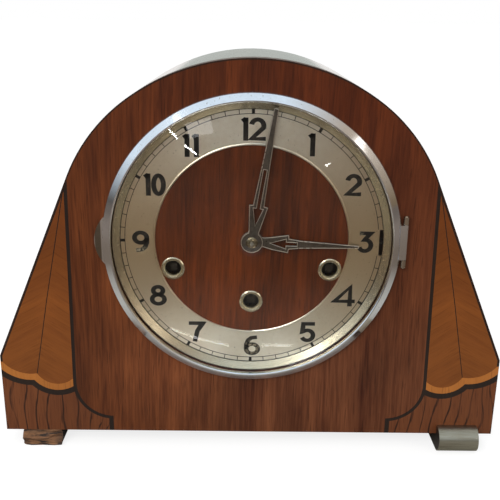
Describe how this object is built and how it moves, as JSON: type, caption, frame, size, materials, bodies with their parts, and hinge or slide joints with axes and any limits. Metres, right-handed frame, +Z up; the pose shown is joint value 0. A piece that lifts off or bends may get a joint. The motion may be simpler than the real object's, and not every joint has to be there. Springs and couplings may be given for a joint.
{
  "type": "mantel clock",
  "caption": "Spring-driven striking and chiming mantel clock in an arched, straight-sided veneered case, with a hinged glazed bezel, a round dial and two hands.",
  "frame": {"origin": "on the floor, under the middle of the whole clock's box", "axes": "+X to the viewer's right across the dial, +Y from the dial to the back, +Z up"},
  "size_m": [0.3, 0.1372, 0.2346],
  "materials": {
    "walnut_front": "gloss",
    "walnut_case": "gloss",
    "leaf_wood": "gloss",
    "light_wood": "gloss",
    "black_wood": "gloss",
    "striped_wood": "gloss",
    "raw_wood": "matte",
    "black_foot": "satin",
    "chrome": "polished",
    "dull_nickel": "brushed",
    "silvered": "satin",
    "dark_hand": "satin",
    "glass": "clear",
    "brass": "satin",
    "steel": "satin",
    "iron": "matte"
  },
  "bodies": {
    "case": {"case_wrap": "walnut_case", "front_board": "walnut_case", "base_board": "raw_wood", "back_board": "walnut_case", "centre_veneer": "walnut_front", "fan_leaves": "leaf_wood", "scallop_bands": "light_wood", "stringing": "black_wood", "corner_veneers": "striped_wood", "foot_left": "raw_wood", "foot_right": "black_foot", "foot_cover": "dull_nickel", "rear_door_hinge": "brass", "bezel_hinge": "chrome", "sight_ring": "silvered", "dial_plate": "steel", "chapter_ring": "silvered", "dial_centre": "walnut_front", "grommets": "silvered", "front_plate": "brass", "back_plate": "brass", "pillars": "brass", "movement_brackets": "steel", "screws": "steel", "rear_studs": "steel", "gong_block": "iron", "gong_rods": "brass"},
    "bezel_door": {"bezel_ring": "chrome", "door_glass": "glass"},
    "rear_door": {"rear_door": "walnut_case", "rear_door_knob": "brass"},
    "minute_arbor": {"minute_hand": "dark_hand", "hand_nut": "brass", "centre_wheel": "brass", "cannon_pinion": "steel"},
    "hour_pipe": {"hour_hand": "dark_hand", "hour_wheel": "brass"},
    "minute_wheel": {"minute_wheel": "brass"},
    "second_wheel": {"second_wheel": "brass"},
    "third_wheel": {"third_wheel": "brass"},
    "escape_wheel": {"escape_wheel": "brass"},
    "going_barrel": {"going_barrel": "brass"},
    "anchor": {"anchor": "steel"},
    "pendulum": {"pendulum": "brass"},
    "going_arbor": {"going_arbor": "steel"},
    "strike_arbor": {"strike_arbor": "steel"},
    "chime_arbor": {"chime_arbor": "steel"},
    "strike_barrel": {"strike_barrel": "brass"},
    "strike_wheel": {"strike_wheel": "brass"},
    "strike_fly": {"strike_fly": "brass"},
    "chime_barrel": {"chime_barrel": "brass"},
    "chime_wheel": {"chime_wheel": "brass"},
    "chime_fly": {"chime_fly": "brass"},
    "pin_drum": {"pin_drum": "brass"},
    "silence_lever": {"silence_lever": "steel"},
    "hammer_1": {"hammer_1": "brass"},
    "hammer_2": {"hammer_2": "brass"},
    "hammer_3": {"hammer_3": "brass"},
    "hammer_4": {"hammer_4": "brass"}
  },
  "joints": [
    {"name": "bezel_door_hinge", "type": "hinge", "parent": "case", "child": "bezel_door", "pos_m": [0.087, -0.06105, 0.134], "axis": [0, 0, 1], "range_deg": [0, 110]},
    {"name": "rear_door_hinge", "type": "hinge", "parent": "case", "child": "rear_door", "pos_m": [-0.0843, 0.06095, 0.11], "axis": [0, 0, 1], "range_deg": [0, 110]},
    {"name": "minute_hand_turn", "type": "hinge", "parent": "case", "child": "minute_arbor", "pos_m": [0, -0.06035, 0.132], "axis": [0, 1, 0], "continuous": true},
    {"name": "hour_hand_turn", "type": "hinge", "parent": "case", "child": "hour_pipe", "pos_m": [0, -0.05785, 0.132], "axis": [0, 1, 0], "continuous": true},
    {"name": "minute_wheel_turn", "type": "hinge", "parent": "case", "child": "minute_wheel", "pos_m": [-0.00848, -0.04135, 0.14048], "axis": [0, 1, 0], "continuous": true},
    {"name": "second_wheel_turn", "type": "hinge", "parent": "case", "child": "second_wheel", "pos_m": [0.01564, -0.01635, 0.11711], "axis": [0, 1, 0], "continuous": true},
    {"name": "third_wheel_turn", "type": "hinge", "parent": "case", "child": "third_wheel", "pos_m": [-0.01131, -0.01635, 0.14946], "axis": [0, 1, 0], "continuous": true},
    {"name": "escape_wheel_turn", "type": "hinge", "parent": "case", "child": "escape_wheel", "pos_m": [0, -0.01635, 0.163], "axis": [0, 1, 0], "continuous": true},
    {"name": "going_barrel_turn", "type": "hinge", "parent": "case", "child": "going_barrel", "pos_m": [0, -0.01635, 0.0951], "axis": [0, 1, 0], "continuous": true},
    {"name": "anchor_swing", "type": "hinge", "parent": "case", "child": "anchor", "pos_m": [0, -0.01635, 0.17598], "axis": [0, 1, 0], "range_deg": [-3, 3]},
    {"name": "pendulum_swing", "type": "hinge", "parent": "case", "child": "pendulum", "pos_m": [0, 0.01165, 0.17598], "axis": [0, 1, 0], "range_deg": [-3, 3]},
    {"name": "going_winding", "type": "hinge", "parent": "case", "child": "going_arbor", "pos_m": [0, -0.04735, 0.0951], "axis": [0, 1, 0], "continuous": true},
    {"name": "strike_winding", "type": "hinge", "parent": "case", "child": "strike_arbor", "pos_m": [-0.0456, -0.04735, 0.1152], "axis": [0, 1, 0], "continuous": true},
    {"name": "chime_winding", "type": "hinge", "parent": "case", "child": "chime_arbor", "pos_m": [0.0456, -0.04735, 0.1152], "axis": [0, 1, 0], "continuous": true},
    {"name": "strike_barrel_turn", "type": "hinge", "parent": "case", "child": "strike_barrel", "pos_m": [-0.0456, -0.01635, 0.1152], "axis": [0, 1, 0], "continuous": true},
    {"name": "strike_wheel_turn", "type": "hinge", "parent": "case", "child": "strike_wheel", "pos_m": [-0.04936, -0.01635, 0.14194], "axis": [0, 1, 0], "continuous": true},
    {"name": "strike_fly_turn", "type": "hinge", "parent": "case", "child": "strike_fly", "pos_m": [-0.04408, -0.01635, 0.16164], "axis": [0, 1, 0], "continuous": true},
    {"name": "chime_barrel_turn", "type": "hinge", "parent": "case", "child": "chime_barrel", "pos_m": [0.0456, -0.01635, 0.1152], "axis": [0, 1, 0], "continuous": true},
    {"name": "chime_wheel_turn", "type": "hinge", "parent": "case", "child": "chime_wheel", "pos_m": [0.04936, -0.01635, 0.14194], "axis": [0, 1, 0], "continuous": true},
    {"name": "chime_fly_turn", "type": "hinge", "parent": "case", "child": "chime_fly", "pos_m": [0.04408, -0.01635, 0.16164], "axis": [0, 1, 0], "continuous": true},
    {"name": "pin_drum_turn", "type": "hinge", "parent": "case", "child": "pin_drum", "pos_m": [0.04936, 0.02265, 0.11194], "axis": [0, 1, 0], "continuous": true},
    {"name": "silence_lever_swing", "type": "hinge", "parent": "case", "child": "silence_lever", "pos_m": [0.054, -0.05035, 0.132], "axis": [0, 1, 0], "range_deg": [-10, 10]},
    {"name": "hammer_1_lift", "type": "hinge", "parent": "case", "child": "hammer_1", "pos_m": [0.062, 0.01265, 0.072], "axis": [0, 1, 0], "range_deg": [0, 20]},
    {"name": "hammer_2_lift", "type": "hinge", "parent": "case", "child": "hammer_2", "pos_m": [0.062, 0.01965, 0.072], "axis": [0, 1, 0], "range_deg": [0, 20]},
    {"name": "hammer_3_lift", "type": "hinge", "parent": "case", "child": "hammer_3", "pos_m": [0.062, 0.02665, 0.072], "axis": [0, 1, 0], "range_deg": [0, 20]},
    {"name": "hammer_4_lift", "type": "hinge", "parent": "case", "child": "hammer_4", "pos_m": [0.062, 0.03365, 0.072], "axis": [0, 1, 0], "range_deg": [0, 20]}
  ],
  "couplings": [
    {"joint": "hour_hand_turn", "follows": "minute_hand_turn", "ratio": 0.083333},
    {"joint": "minute_wheel_turn", "follows": "minute_hand_turn", "ratio": -0.33333},
    {"joint": "second_wheel_turn", "follows": "minute_hand_turn", "ratio": -0.2},
    {"joint": "going_barrel_turn", "follows": "minute_hand_turn", "ratio": 0.030769},
    {"joint": "third_wheel_turn", "follows": "minute_hand_turn", "ratio": -12},
    {"joint": "escape_wheel_turn", "follows": "minute_hand_turn", "ratio": 135},
    {"joint": "pendulum_swing", "follows": "anchor_swing", "ratio": 1},
    {"joint": "strike_wheel_turn", "follows": "strike_barrel_turn", "ratio": -6.5},
    {"joint": "strike_fly_turn", "follows": "strike_barrel_turn", "ratio": 48.75},
    {"joint": "chime_wheel_turn", "follows": "chime_barrel_turn", "ratio": -6.5},
    {"joint": "chime_fly_turn", "follows": "chime_barrel_turn", "ratio": 48.75},
    {"joint": "pin_drum_turn", "follows": "chime_barrel_turn", "ratio": 6.5}
  ]
}
